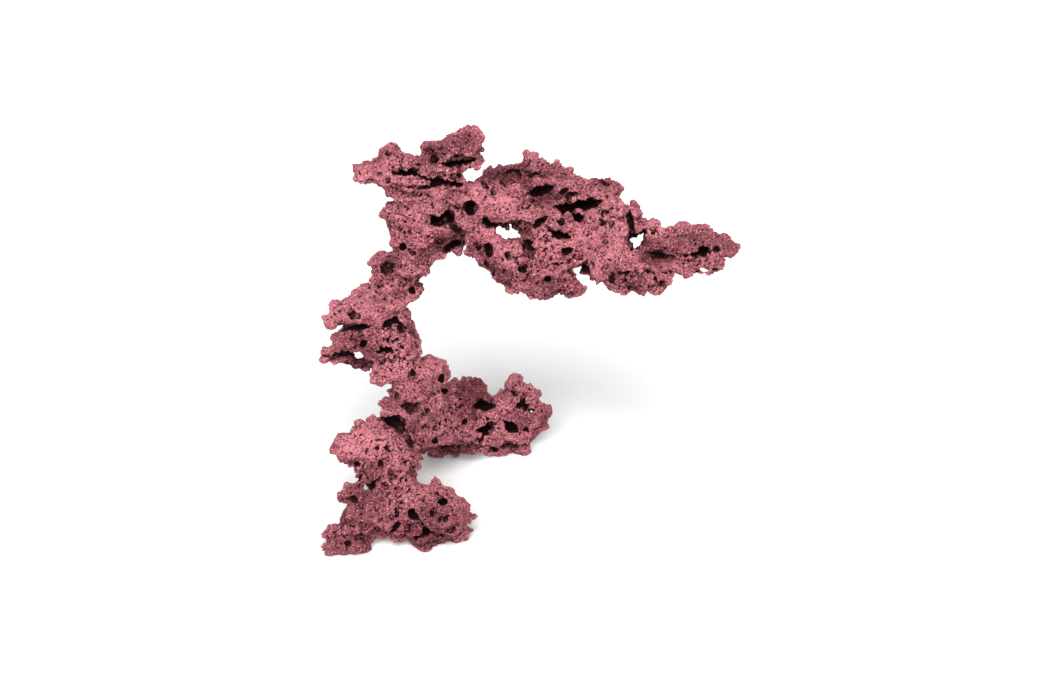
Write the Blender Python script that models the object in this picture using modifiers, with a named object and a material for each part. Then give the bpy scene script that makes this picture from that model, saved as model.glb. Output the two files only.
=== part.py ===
"""Dry reef rock: a knobbly branching rock that stands on two feet and carries an overhanging canopy.

Metres, +Z up, +Y away from the viewer, +X towards the canopy's tip. The origin is the middle of the
rock's bounding box, on the surface that it stands on. The rock is one stone: its lumps are fused into
one surface, roughened and pitted, and then parted at its main forks, a hair's width apart.
"""

import math

import bmesh
import bpy
from mathutils import Matrix, Vector, noise
from mathutils.bvhtree import BVHTree

MM = 0.001

# Driving sizes, in millimetres
FUSE_VOXEL = 2.4
CUTTER_VOXEL = 1.2
FORK_GAP = 0.3
FLOOR_DEPTH = 60
FLOOR_REACH = 400
LUMP_SIZE = 24
LUMP_HEIGHT = 12
KNOB_SIZE = 10
KNOB_HEIGHT = 8
WAVER_SIZE = 6
WAVER_REACH = 1.2

# How much the fused lumps are smoothed, the triangles that the whole rock is thinned to, and how
# finely the egg shapes of lumps and hollows are divided
SMOOTHING_ROUNDS = 4
SMOOTHING_SHARE = 0.5
FACE_BUDGET = 8100
LUMP_ROUNDNESS = 3
HOLLOW_ROUNDNESS = 2

# The front view: where it is seen from, and how many of its pixels span a metre at one metre away.
# Its middle is the pixel (525, 350), and there one pixel is one millimetre.
VIEW_TARGET = Vector((0, 0.020, 0.149))
VIEW_RISE = math.radians(25)
VIEW_DISTANCE = 2.04
VIEW_SCALE = 2041.7
VIEW_MIDDLE = (525, 350)

NOISE_SEED = 7

# The lumps that the rock is made of, limb by limb, in millimetres. Each one is an egg shape:
# x, y, z of its middle, half its width, depth and height, and the angle that it rises to the right.
FRONT_LEG = [
    (-175, -117, 12, 15, 18, 17, 28),
    (-188, -123, 7, 10, 12, 8, 28),
    (-162, -116, 7, 15, 14, 8, 0),
    (-161, -112, 27, 20, 20, 19, 0),
    (-142, -105, 26, 26, 22, 20, 0),
    (-132, -98, 39, 24, 22, 20, 0),
    (-126, -105, 18, 16, 18, 12, 0),
    (-167, -95, 49, 8, 10, 14, 10),
    (-176, -95, 50, 7, 8, 9, 0),
    (-82, -100, 29, 30, 28, 27, 0),
    (-101, -98, 37, 20, 20, 15, 0),
    (-67, -92, 22, 15, 20, 15, 0),
    (-87, -88, 59, 8.5, 10, 8, 0),
    (-97, -112, 12, 18, 16, 14, 0),
    (-71, -86, 42, 9, 12, 7, 0),
    (-53, -92, 19, 6, 8, 8, 0),
    (-65, -97, 9, 14, 16, 12, 0),
    (-132, -85, 47, 27, 24, 16, 0),
    (-121, -75, 54, 15, 22, 16, 0),
    (-170, -62, 79, 20, 22, 12, 0),
    (-145, -55, 86, 24, 29, 19, 0),
    (-126, -60, 74, 25, 28, 22, 0),
    (-112, -66, 62, 10, 14, 9, 0),
    (-153, -72, 61, 18, 20, 12, 0),
    (-165, -74, 59, 7, 10, 7, 0),
    (-129, -35, 94, 20, 26, 17, 0),
    (-155, -50, 94, 12, 16, 11, 0),
    (-175, -56, 85, 8, 11, 6, 0),
]
HUB = [
    (-110, 10, 98, 30, 30, 24, 0),
    (-125, -10, 91, 22, 26, 18, 0),
    (-95, 25, 64, 28, 26, 26, 0),
    (-133, -8, 97, 13, 18, 12, 0),
]
REAR_FOOT = [
    (-77, 60, 56, 34, 34, 32, 0),
    (-60, 85, 60, 23, 29, 23, 0),
    (-92, 77, 22, 18, 21, 25, 0),
    (-37, 80, 34, 26, 30, 28, 0),
    (-66, 75, 24, 24, 24, 17, 0),
    (-40, 68, 21, 8, 9, 9, 0),
    (-26, 87, 14, 16, 20, 15, 0),
    (10, 97, 32, 17, 20, 21, 0),
    (-5, 90, 10, 16, 18, 14, 0),
    (18, 98, 39, 11, 13, 12, 0),
    (-11, 100, 65, 15, 16, 11, 0),
    (-11, 100, 77, 7, 8, 7, 0),
    (5, 100, 60, 11, 12, 9, 0),
    (-21, 92, 51, 13, 16, 14, 0),
    (-4, 98, 36, 13, 16, 13, 0),
]
COLUMN = [
    (-132, 11, 136, 24, 32, 17, 0),
    (-94, 13, 124, 18, 26, 15, 0),
    (-110, 15, 111, 28, 35, 18, 0),
    (-124, 13, 151, 20, 28, 14, 0),
    (-151, 13, 201, 27, 29, 17, 20),
    (-164, 5, 195, 22, 25, 14, 0),
    (-187, 0, 196, 8, 14, 13, 0),
    (-138, 13, 186, 18, 30, 18, 0),
    (-178, -2, 169, 22, 22, 8, 15),
    (-195, -6, 161, 8, 11, 9, 0),
    (-191, -2, 152, 9, 9, 7, 0),
    (-148, 5, 168, 20, 28, 14, 0),
    (-133, -8, 178, 14, 12, 12, 0),
    (-116, 23, 168, 12, 22, 15, 0),
    (-111, 16, 154, 10, 16, 11, 0),
    (-171, 22, 135, 16, 16, 6, -5),
    (-179, 13, 146, 9, 10, 9, 0),
    (-157, 20, 139, 9, 11, 8, 0),
    (-150, 14, 146, 12, 14, 8, 0),
    (-135, 13, 244, 17, 22, 13, 0),
    (-110, 15, 247, 21, 28, 14, 0),
    (-127, 15, 226, 22, 28, 14, 0),
    (-107, 10, 221, 11, 14, 7, -15),
    (-129, 12, 208, 8, 11, 6, 0),
    (-153, 10, 245, 4, 8, 8, 0),
    (-106, 13, 286, 26, 32, 24, 0),
    (-123, 11, 298, 15, 22, 11, 0),
    (-115, 11, 269, 14, 25, 14, 0),
    (-82, 17, 281, 22, 30, 20, 0),
    (-74, 27, 258, 15, 22, 6, 25),
    (-90, 18, 262, 10, 18, 12, 0),
    (-61, 28, 283, 16, 30, 19, 0),
]
CROWN = [
    (-95, 12, 334, 34, 30, 18, 0),
    (-86, 10, 317, 24, 26, 13, 0),
    (-134, 8, 344, 29, 24, 14, 0),
    (-151, 8, 345, 14, 18, 12, 0),
    (-160, 8, 368, 7, 8, 6, 0),
    (-120, 10, 374, 5, 6, 6, 0),
    (-125, 12, 354, 21, 20, 9, 0),
    (-66, 12, 364, 30, 24, 13, 24),
    (-53, 14, 372, 15, 20, 13, 0),
    (-84, 12, 362, 16, 20, 11, 0),
    (-92, 12, 362, 8, 12, 8, 0),
    (-50, 14, 354, 12, 18, 10, 0),
    (-76, 14, 347, 20, 22, 10, 0),
    (-110, 8, 321, 18, 20, 10, 0),
    (-129, 8, 332, 20, 18, 9, -20),
    (-62, 14, 320, 18, 20, 12, 0),
    (-96, 4, 349, 44, 26, 9, 3),
    (-98, 4, 336, 46, 26, 8, 0),
    (-94, 6, 324, 36, 24, 7, 0),
]
CANOPY = [
    (-43, 15, 311, 30, 26, 18, 0),
    (-14, 12, 307, 24, 28, 18, 0),
    (-48, 5, 292, 22, 22, 16, 0),
    (-43, -5, 272, 16, 18, 17, 0),
    (-24, -15, 272, 20, 20, 16, 0),
    (-14, -20, 253, 20, 20, 17, 0),
    (5, -22, 241, 22, 20, 17, 0),
    (29, -18, 243, 22, 20, 17, 0),
    (48, -18, 232, 14, 14, 10, 0),
    (14, -20, 228, 8, 10, 7, 0),
    (-27, -12, 246, 9, 12, 9, 0),
    (19, -8, 263, 24, 22, 17, 0),
    (12, 5, 281, 16, 24, 13, 0),
    (-14, 12, 288, 15, 20, 8, 0),
    (15, 30, 295, 34, 34, 20, 0),
    (49, 35, 287, 34, 38, 24, 0),
    (73, 40, 296, 24, 32, 20, 0),
    (79, 25, 270, 24, 34, 18, 0),
    (49, 10, 261, 28, 30, 16, 0),
    (78, 5, 247, 24, 28, 14, 0),
    (107, 0, 239, 32, 26, 19, 0),
    (125, 2, 236, 18, 20, 16, 0),
    (83, 50, 307, 17, 20, 13, 0),
    (71, 52, 317, 7, 9, 5, 0),
    (49, 48, 313, 20, 24, 9, 0),
    (102, 45, 286, 12, 14, 8, 0),
    (112, 45, 284, 4, 6, 7, 0),
    (107, 42, 273, 7, 10, 9, 0),
    (3, 60, 319, 45, 36, 7, 4),
    (-10, 80, 314, 34, 12, 6, 2),
    (33, 72, 319, 14, 20, 6, 0),
    (-38, 50, 316, 6, 14, 9, 0),
    (5, 85, 325, 7, 8, 6, 0),
]
TIP_SHELF = [
    (121, 45, 268, 12, 14, 7, 0),
    (162, 30, 262, 46, 31, 9, 0),
    (201, 28, 258, 12, 16, 7, 0),
    (131, 30, 259, 21, 24, 11, 0),
    (107, 20, 252, 10, 14, 7, 0),
    (161, 9, 247, 36, 29, 7, 0),
    (157, -5, 242, 7, 8, 6, 0),
]
BACK_LEDGES = [
    (-152, 38, 196, 20, 16, 12, 12),
    (-118, 40, 226, 14, 14, 10, 0),
    (-128, 42, 140, 16, 16, 14, 0),
    (-92, 40, 118, 18, 16, 12, -15),
    (-100, 42, 292, 20, 16, 14, 0),
    (-120, 34, 338, 18, 14, 9, 0),
    (-74, 34, 352, 16, 12, 9, 15),
    (-52, 48, 300, 20, 18, 12, 0),
    (-4, 58, 296, 28, 22, 16, 0),
    (44, 76, 292, 24, 18, 14, 10),
    (72, 66, 272, 20, 18, 12, 0),
    (96, 28, 246, 18, 20, 12, 0),
    (158, 50, 254, 28, 18, 8, 0),
    (-78, 96, 62, 18, 14, 18, 0),
    (-44, 108, 44, 18, 12, 16, 0),
    (-150, -28, 74, 14, 12, 12, 0),
    (-98, -78, 34, 16, 12, 14, 0),
]
CORES = [
    (-28, 14, 306, 38, 28, 17, 0),
    (14, 18, 298, 46, 32, 15, -6),
    (62, 20, 274, 36, 36, 20, -12),
    (-108, 16, 266, 17, 26, 20, 0),
    (-130, 14, 210, 22, 28, 20, 20),
    (-124, 14, 164, 20, 28, 22, -10),
    (-112, 16, 122, 25, 30, 20, -20),
    (-62, 74, 44, 34, 30, 28, 0),
    (-20, 90, 34, 34, 26, 20, 0),
    (-138, -64, 68, 28, 26, 24, 0),
    (-126, -96, 34, 28, 24, 20, 0),
    (-96, -99, 28, 32, 24, 18, 0),
]
LIMBS = [FRONT_LEG, HUB, REAR_FOOT, COLUMN, CROWN, CANOPY, TIP_SHELF, BACK_LEDGES, CORES]

# Hollows sunk into the front, where the front view shows them: its pixel across and down, then
# width, height and depth in millimetres, and the angle that the hollow rises to the right.
CROWN_HOLLOWS = [
    (434, 161, 11, 9, 12, 0),
    (418, 165, 9, 7, 9, 0),
    (404, 173, 28, 6, 18, 0),
    (436, 180, 28, 5, 16, -4),
    (424, 187, 38, 5, 16, 0),
    (456, 184, 16, 6, 16, 0),
    (460, 162, 34, 7, 18, 12),
    (419, 178, 9, 4, 10, -20),
    (378, 174, 9, 5, 7, 0),
    (368, 158, 10, 10, 4, -40),
    (388, 153, 9, 7, 5, 0),
    (406, 154, 10, 7, 5, 0),
    (468, 134, 9, 8, 5, 0),
    (422, 195, 26, 8, 4, -15),
    (397, 187, 12, 7, 6, 0),
    (395, 162, 3, 8, 8, 0),
]
COLUMN_HOLLOWS = [
    (439, 217, 12, 7, 12, 55),
    (455, 227, 24, 8, 7, -48),
    (438, 243, 11, 11, 18, 20),
    (452, 245, 20, 8, 18, 30),
    (403, 246, 8, 10, 12, 0),
    (388, 267, 15, 14, 10, 0),
    (413, 253, 12, 6, 5, -35),
    (412, 290, 7, 9, 10, 20),
    (342, 327, 14, 9, 12, 0),
    (357, 327, 24, 5, 16, 4),
    (355, 317, 14, 9, 4, 0),
    (391, 322, 19, 6, 14, 22),
    (401, 329, 10, 7, 10, -35),
    (363, 344, 10, 8, 13, 30),
    (384, 349, 14, 7, 13, 0),
    (374, 353, 22, 5, 14, -4),
    (382, 362, 9, 6, 7, -35),
    (441, 379, 7, 11, 12, 0),
    (412, 373, 6, 6, 6, 0),
    (433, 395, 14, 4, 8, 30),
    (446, 391, 8, 5, 8, 0),
    (393, 396, 11, 9, 8, 0),
    (412, 408, 26, 12, 6, 0),
    (427, 410, 5, 7, 7, 0),
    (394, 421, 17, 16, 16, -30),
    (408, 438, 30, 8, 14, -62),
]
REAR_FOOT_HOLLOWS = [
    (484, 406, 22, 12, 16, 0),
    (484, 428, 16, 13, 16, 0),
    (480, 439, 5, 10, 10, -70),
    (511, 427, 13, 13, 16, 0),
    (526, 431, 6, 8, 9, 0),
    (522, 406, 12, 9, 14, 0),
    (463, 422, 8, 6, 8, 20),
    (445, 421, 6, 6, 6, 0),
    (435, 441, 7, 6, 7, 0),
    (494, 449, 10, 7, 12, 0),
]
FRONT_LEG_HOLLOWS = [
    (343, 464, 8, 6, 9, -35),
    (357, 463, 6, 6, 7, 0),
    (381, 464, 6, 8, 8, 0),
    (354, 500, 7, 9, 10, -40),
    (372, 487, 8, 8, 12, 0),
    (443, 504, 12, 10, 13, 0),
    (435, 494, 12, 4, 9, 0),
    (414, 514, 9, 12, 12, 0),
    (395, 527, 16, 6, 10, 45),
    (376, 528, 9, 5, 8, 0),
    (427, 531, 10, 10, 10, -40),
    (440, 536, 10, 6, 9, 0),
    (416, 538, 8, 6, 6, 0),
    (452, 529, 18, 8, 6, 30),
]
CANOPY_HOLLOWS = [
    (578, 206, 44, 9, 24, 3),
    (569, 209, 22, 9, 24, 20),
    (576, 218, 15, 10, 16, 12),
    (571, 195, 11, 5, 9, 0),
    (563, 193, 12, 5, 9, 50),
    (540, 190, 34, 8, 18, 18),
    (519, 197, 8, 6, 8, 0),
    (510, 174, 34, 10, 7, 14),
    (532, 175, 74, 15, 7, 8),
    (607, 198, 6, 6, 7, 0),
    (607, 186, 16, 8, 5, -35),
    (540, 222, 18, 6, 10, 42),
    (560, 234, 22, 6, 10, -18),
    (489, 222, 14, 8, 9, -20),
    (513, 224, 18, 5, 9, -8),
    (470, 208, 9, 14, 13, 0),
    (606, 242, 9, 6, 8, 0),
    (616, 228, 5, 4, 6, 0),
    (583, 265, 10, 9, 10, 45),
    (611, 276, 9, 8, 10, 0),
    (623, 273, 12, 4, 7, 0),
    (655, 280, 7, 7, 6, 0),
]
LOBE_HOLLOWS = [
    (489, 250, 10, 16, 14, 15),
    (493, 272, 9, 15, 9, 15),
    (522, 269, 10, 8, 11, 0),
    (548, 279, 8, 8, 9, 0),
    (557, 264, 8, 6, 7, -20),
    (528, 245, 16, 9, 11, -30),
    (566, 252, 12, 8, 7, 40),
    (508, 284, 12, 9, 5, 0),
]
SHELF_HOLLOWS = [
    (662, 256, 36, 6, 24, 3),
    (698, 254, 34, 4, 20, 8),
    (703, 250, 12, 10, 16, 0),
    (717, 249, 9, 8, 10, -40),
]
THROUGH_HOLES = [
    (508, 232, 27, 8, 60, -15),
    (359, 356, 10, 7, 50, 0),
    (366, 487, 6, 6, 50, 0),
    (531, 411, 8, 6, 50, 0),
]
HOLLOWS = (
    THROUGH_HOLES
    + CROWN_HOLLOWS
    + COLUMN_HOLLOWS
    + REAR_FOOT_HOLLOWS
    + FRONT_LEG_HOLLOWS
    + CANOPY_HOLLOWS
    + LOBE_HOLLOWS
    + SHELF_HOLLOWS
)

# Each limb's fork: middle, half sizes and turn of a box that holds the limb, in millimetres and
# degrees. The limb is the rock inside its box and outside the boxes before it.
FORKS = {
    "crown_ledge": ((-100, 10, 392), (120, 80, 70), (0, -17, 0)),
    "outer_shelf": ((207, 20, 270), (70, 90, 70), (0, 45, 0)),
    "canopy_lobe": ((-8, -28, 240), (54, 32, 41), (0, 0, 0)),
    "canopy": ((60, 20, 290), (122, 110, 90), (0, 0, 0)),
    "front_leg": ((-120, -92, 50), (110, 68, 66), (0, 0, 0)),
    "rear_foot": ((-40, 96, 40), (100, 62, 80), (-12, 0, 0)),
}

# Each node's colour, as the stone shows it there, from 0 to 1 in linear light.
STONE_COLOURS = {
    "column": (0.42, 0.12, 0.15),
    "crown_ledge": (0.40, 0.11, 0.14),
    "outer_shelf": (0.34, 0.09, 0.12),
    "canopy_lobe": (0.42, 0.12, 0.15),
    "canopy": (0.44, 0.13, 0.16),
    "front_leg": (0.42, 0.12, 0.15),
    "rear_foot": (0.36, 0.10, 0.13),
}
STONE_ROUGHNESS = 0.95


def clear_scene():
    for obj in list(bpy.data.objects):
        bpy.data.objects.remove(obj)


def collection_named(name):
    found = bpy.data.collections.new(name)
    bpy.context.scene.collection.children.link(found)
    return found


def object_from(bm, name, collection):
    mesh = bpy.data.meshes.new(name)
    bm.to_mesh(mesh)
    bm.free()
    obj = bpy.data.objects.new(name, mesh)
    collection.objects.link(obj)
    return obj


def hide_cutter(obj):
    obj.hide_render = True
    obj.display_type = "WIRE"


def chunk_place(chunk):
    x, y, z, half_width, half_depth, half_height, tilt = chunk
    return (
        Matrix.Translation(Vector((x, y, z)) * MM)
        @ Matrix.Rotation(-math.radians(tilt), 4, "Y")
        @ Matrix.Diagonal((half_width * MM, half_depth * MM, half_height * MM, 1))
    )


def lumps_of_stone(collection):
    bm = bmesh.new()
    for limb in LIMBS:
        for chunk in limb:
            place = chunk_place(chunk)
            bmesh.ops.create_icosphere(bm, subdivisions=LUMP_ROUNDNESS, radius=1, matrix=place)
    return object_from(bm, "lumps_of_stone", collection)


def add_fuse(obj, voxel):
    fuse = obj.modifiers.new("fuse", "REMESH")
    fuse.mode = "VOXEL"
    fuse.voxel_size = voxel * MM


def add_smoothing(obj, rounds):
    smooth = obj.modifiers.new("smooth", "SMOOTH")
    smooth.factor = SMOOTHING_SHARE
    smooth.iterations = rounds


def add_roughness(obj, name, kind, size, height):
    texture = bpy.data.textures.new(name, kind)
    texture.noise_scale = size * MM
    rough = obj.modifiers.new(name, "DISPLACE")
    rough.texture = texture
    rough.texture_coords = "GLOBAL"
    rough.strength = height * MM
    rough.mid_level = 0.5


def set_shape(obj, mesh):
    obj.modifiers.clear()
    obj.data = mesh


def evaluated_mesh(obj):
    graph = bpy.context.evaluated_depsgraph_get()
    return bpy.data.meshes.new_from_object(obj.evaluated_get(graph))


def view_axes():
    back = Vector((0, -math.cos(VIEW_RISE), math.sin(VIEW_RISE)))
    across = Vector((1, 0, 0))
    up = back.cross(across)
    return across, up, back


def struck_point(surface, pixel_across, pixel_down):
    across, up, back = view_axes()
    eye = VIEW_TARGET + back * VIEW_DISTANCE
    sight = (
        across * (pixel_across - VIEW_MIDDLE[0])
        - up * (pixel_down - VIEW_MIDDLE[1])
        - back * VIEW_SCALE
    ).normalized()
    point = surface.ray_cast(eye, sight)[0]
    return point, sight


def add_hollow(bm, surface, hollow):
    pixel_across, pixel_down, width, height, depth, tilt = hollow
    point, sight = struck_point(surface, pixel_across, pixel_down)
    facing = (-sight).to_track_quat("Z", "Y").to_matrix().to_4x4()
    place = (
        Matrix.Translation(point)
        @ facing
        @ Matrix.Rotation(math.radians(tilt), 4, "Z")
        @ Matrix.Diagonal((width / 2 * MM, height / 2 * MM, depth * MM, 1))
    )
    made = bmesh.ops.create_icosphere(bm, subdivisions=HOLLOW_ROUNDNESS, radius=1, matrix=place)
    for vert in made["verts"]:
        vert.co += noise.noise_vector(vert.co / (WAVER_SIZE * MM)) * WAVER_REACH * MM


def hollow_cutter(rock, collection):
    surface_mesh = evaluated_mesh(rock)
    shape = bmesh.new()
    shape.from_mesh(surface_mesh)
    surface = BVHTree.FromBMesh(shape)
    shape.free()
    bm = bmesh.new()
    for hollow in HOLLOWS:
        add_hollow(bm, surface, hollow)
    return object_from(bm, "hollow_cutter", collection)


def add_cut(obj, cutter, operation):
    cut = obj.modifiers.new(cutter.name, "BOOLEAN")
    cut.operation = operation
    cut.solver = "EXACT"
    cut.object = cutter


def whole_rock(collection):
    rock = lumps_of_stone(collection)
    add_fuse(rock, FUSE_VOXEL)
    add_smoothing(rock, SMOOTHING_ROUNDS)
    add_roughness(rock, "lumps", "CLOUDS", LUMP_SIZE, LUMP_HEIGHT)
    add_roughness(rock, "knobs", "CLOUDS", KNOB_SIZE, KNOB_HEIGHT)
    cutter = hollow_cutter(rock, collection)
    add_fuse(cutter, CUTTER_VOXEL)
    hide_cutter(cutter)
    add_fuse(rock, FUSE_VOXEL)
    add_cut(rock, cutter, "DIFFERENCE")
    add_fuse(rock, FUSE_VOXEL)
    set_shape(rock, evaluated_mesh(rock))
    return rock


def thin_out(rock):
    mesh = rock.data
    mesh.calc_loop_triangles()
    thin = rock.modifiers.new("thin_out", "DECIMATE")
    thin.ratio = FACE_BUDGET / len(mesh.loop_triangles)
    set_shape(rock, evaluated_mesh(rock))


def largest_body(obj):
    bm = bmesh.new()
    bm.from_mesh(obj.data)
    seen = set()
    bodies = []
    for start in bm.verts:
        if start in seen:
            continue
        body = [start]
        seen.add(start)
        for vert in body:
            for edge in vert.link_edges:
                other = edge.other_vert(vert)
                if other not in seen:
                    seen.add(other)
                    body.append(other)
        bodies.append(body)
    bodies.sort(key=len, reverse=True)
    for body in bodies[1:]:
        bmesh.ops.delete(bm, geom=body, context="VERTS")
    bm.to_mesh(obj.data)
    bm.free()


def box_cutter(name, middle, half_sizes, turn, grow, collection):
    place = (
        Matrix.Translation(Vector(middle) * MM)
        @ Matrix.Rotation(math.radians(turn[2]), 4, "Z")
        @ Matrix.Rotation(math.radians(turn[1]), 4, "Y")
        @ Matrix.Rotation(math.radians(turn[0]), 4, "X")
        @ Matrix.Diagonal([(half + grow) * 2 * MM for half in half_sizes] + [1])
    )
    bm = bmesh.new()
    bmesh.ops.create_cube(bm, size=1, matrix=place)
    box = object_from(bm, name, collection)
    hide_cutter(box)
    return box


def flatten_feet(rock, collection):
    half_sizes = (FLOOR_REACH, FLOOR_REACH, FLOOR_DEPTH)
    floor = box_cutter("floor", (0, 0, -FLOOR_DEPTH), half_sizes, (0, 0, 0), 0, collection)
    add_cut(rock, floor, "DIFFERENCE")
    set_shape(rock, evaluated_mesh(rock))


def stone_material(name):
    stone = bpy.data.materials.new("stone_" + name)
    stone.use_nodes = True
    shader = stone.node_tree.nodes["Principled BSDF"]
    shader.inputs["Base Color"].default_value = (*STONE_COLOURS[name], 1)
    shader.inputs["Roughness"].default_value = STONE_ROUGHNESS
    shader.inputs["Metallic"].default_value = 0
    return stone


def limb(name, rock, inside, outside, collection):
    obj = bpy.data.objects.new(name, rock.data.copy())
    collection.objects.link(obj)
    if inside is not None:
        add_cut(obj, inside, "INTERSECT")
    for box in outside:
        add_cut(obj, box, "DIFFERENCE")
    set_shape(obj, evaluated_mesh(obj))
    largest_body(obj)
    obj.data.materials.clear()
    obj.data.materials.append(stone_material(name))
    return obj


def centre_on_floor(objects):
    corners = [vert.co for obj in objects for vert in obj.data.vertices]
    low_x = min(co.x for co in corners)
    high_x = max(co.x for co in corners)
    low_y = min(co.y for co in corners)
    high_y = max(co.y for co in corners)
    shift = Vector(((low_x + high_x) / -2, (low_y + high_y) / -2, 0))
    for obj in objects:
        obj.data.transform(Matrix.Translation(shift))
    return shift


def main():
    clear_scene()
    noise.seed_set(NOISE_SEED)
    parts = collection_named("dry_reef_rock")
    cutters = collection_named("cutters")
    rock = whole_rock(cutters)
    thin_out(rock)
    flatten_feet(rock, cutters)
    limbs = []
    outside = []
    for name, (middle, half_sizes, turn) in FORKS.items():
        inside = box_cutter(name + "_box", middle, half_sizes, turn, 0, cutters)
        limbs.append(limb(name, rock, inside, outside, parts))
        outside.append(box_cutter(name + "_clear", middle, half_sizes, turn, FORK_GAP, cutters))
    limbs.append(limb("column", rock, None, outside, parts))
    hide_cutter(rock)
    shift = centre_on_floor(limbs)
    for cutter in cutters.objects:
        cutter.location += shift


main()
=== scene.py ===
"""Dry reef rock: the fine surface of the rock, grown over its solids.

Metres, +Z up, +Y away from the viewer, +X towards the canopy's tip. The parted limbs are closed again
into one stone. Its hollows, crevices and pores are cut, its surface is roughened, and the stone is parted
at the same forks, so that each piece stands for one limb.
"""

import math

import bmesh
import bpy
import numpy as np
from mathutils import Matrix, Vector, noise
from mathutils.bvhtree import BVHTree
from mathutils.kdtree import KDTree


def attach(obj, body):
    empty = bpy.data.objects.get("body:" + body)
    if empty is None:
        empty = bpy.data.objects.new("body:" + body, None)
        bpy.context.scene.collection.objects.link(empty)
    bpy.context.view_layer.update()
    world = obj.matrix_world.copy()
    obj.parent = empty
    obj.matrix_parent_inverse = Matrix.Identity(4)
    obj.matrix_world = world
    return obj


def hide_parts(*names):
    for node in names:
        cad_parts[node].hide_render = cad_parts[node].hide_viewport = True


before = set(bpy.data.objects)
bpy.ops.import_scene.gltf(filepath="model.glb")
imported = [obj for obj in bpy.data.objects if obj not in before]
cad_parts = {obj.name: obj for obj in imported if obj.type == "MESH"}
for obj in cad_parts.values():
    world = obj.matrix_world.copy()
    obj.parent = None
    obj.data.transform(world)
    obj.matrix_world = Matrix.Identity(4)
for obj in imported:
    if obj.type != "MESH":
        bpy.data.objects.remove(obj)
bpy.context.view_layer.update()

MM = 0.001
NOISE_SEED = 11
BALL_ROUNDNESS = 3
SMOOTHING_SHARE = 0.5

# How the limbs are closed into one stone, in millimetres: how far the faces grow over the gaps, the mesh
# sizes of the stone, of its hollows and of its last skin, and how far the stone then shrinks again
CLOSE_GAP = 1.0
FIRST_VOXEL = 1.5
CUTTER_VOXEL = 0.9
SKIN_VOXEL = 1.22
FACET_SMOOTHING = 10
SKIN_SMOOTHING = 1
SHRINK = 2.0

# Rough and sandy places: how large they are, and how rough the stone is from place to place
RUGGED_SIZE = 28
RUGGED_MIDDLE = 0.5
RUGGED_SWING = 1.7
RUGGED_LEAST = 0.15

# How far places are bent, in millimetres, before blocks, lumps, ledges, pits and cracks are laid out
WARP_SIZE = 9
WARP_REACH = 3.5

# The large forms: broken blocks with a rounded edge, level ledges, and lumps
BLOCK_SIZE = 18
BLOCK_HEIGHT = 6
BLOCK_EDGE = 0.3
BLOCK_SUNK_SHARE = 0.7
SANDY_BLOCK_SHARE = 0.4
LEDGE_LENGTH = 26
LEDGE_THICKNESS = 9
LEDGE_HEIGHT = 7
LUMP_SIZE = 12
LUMP_HEIGHT = 4.5

# Hollows: how far their edges waver, in millimetres and as a share of their width or height
WAVER_SIZE = 4.5
WAVER_LEAST = 0.8
WAVER_SHARE = 0.16
WAVER_MOST = 2.6

# Crevices are rows of hollows. How close these stand and how long each is, in shares of the crevice's
# width, and how the width wavers and tapers off to the ends
CREVICE_STEP = 0.4
CREVICE_STEP_LENGTH = 1.5
CREVICE_WAVER_SIZE = 1.6
CREVICE_WAVER = 0.5
CREVICE_TAPER = 0.5

# The small forms: scoops and pores, cracks, crust and grains. A pit's reach is a share of its spacing, and
# FLOOR_FLAT is the height over which all forms fade in above the floor.
SCOOP_SPACING = 16
SCOOP_REACH = 0.42
SCOOP_DEPTH = 4
PORE_SPACING = 6.5
PORE_REACH = 0.26
PORE_DEPTH = 2.4
PIT_LEAST_REACH = 0.01
PIT_MIDDLE = 0.7
PIT_SPREAD = 3.7
PIT_STEEPNESS = 1.6
CRACK_SIZE = 14
CRACK_WIDTH = 0.06
CRACK_DEPTH = 2.4
CRACKS_FROM_RUGGED = 0.35
CRUST_SIZE = 8
CRUST_FINENESS = 0.6
CRUST_STEP = 2.1
CRUST_OCTAVES = 4
CRUST_HEIGHT = 3.2
GRAIN_SIZE = 2.3
GRAIN_HEIGHT = 1.3
FLOOR_FLAT = 1.5

# What the colour follows: how far a point is sunk (painted shade in its pores, pale crests), how closed in
# it is (painted shade in its hollows), and the dark and pale patches, partly the stone's own tone and
# partly painted shade and light. Ranges and reaches are in millimetres.
COLOUR_VALUES = ("sunk", "sheltered", "tone_shade_and_light")
GROWN = "grown"
SURELY_GROWN = 0.99
SUNK_SMOOTHING = 12
SUNK_RANGE = 0.9
SHELTER_REACH = 22
SHELTER_START = 0.3
SHELTER_RAYS = 10
SHELTER_DOME = 0.96
SHELTER_AVERAGING = 2
EVEN_VALUE = 0.5
TONE_SHADE_AND_LIGHT_FADING = 0.7

# The front view: its pixel (525, 350) of 1050 x 700 looks at VIEW_TARGET, and there one pixel is one
# millimetre.
FRAME_WIDTH = 1050
VIEW_MIDDLE = (525, 350)
VIEW_TARGET = Vector((-0.00507, 0.02732, 0.149))
VIEW_RISE = math.radians(25)
VIEW_DISTANCE = 2.04
LENS = 70.0
SENSOR = 36.0
VIEW_SCALE = LENS / SENSOR * FRAME_WIDTH

# The forks, near those of the solids: middle, half sizes and turn of the boxes that hold each limb, in
# millimetres and degrees, and how far the solids were moved to centre them.
CENTRING = Vector((-5.07, 7.32, 0)) * MM
FORKS = {
    "crown_ledge": [((-100, 10, 392), (120, 80, 70), (0, -17, 0))],
    "outer_shelf": [((207, 20, 270), (70, 90, 70), (0, 45, 0))],
    "canopy_lobe": [
        ((-8, -28, 240), (54, 32, 41), (0, 0, 0)),
        ((51, -22, 233), (11, 19, 20), (0, 0, 0)),
    ],
    "canopy": [((60, 20, 290), (122, 110, 90), (0, 0, 0))],
    "front_leg": [((-120, -92, 50), (110, 68, 66), (0, 0, 0))],
    "rear_foot": [((-40, 93.9, 30.2), (100, 62, 70), (-12, 0, 0))],
}

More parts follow.
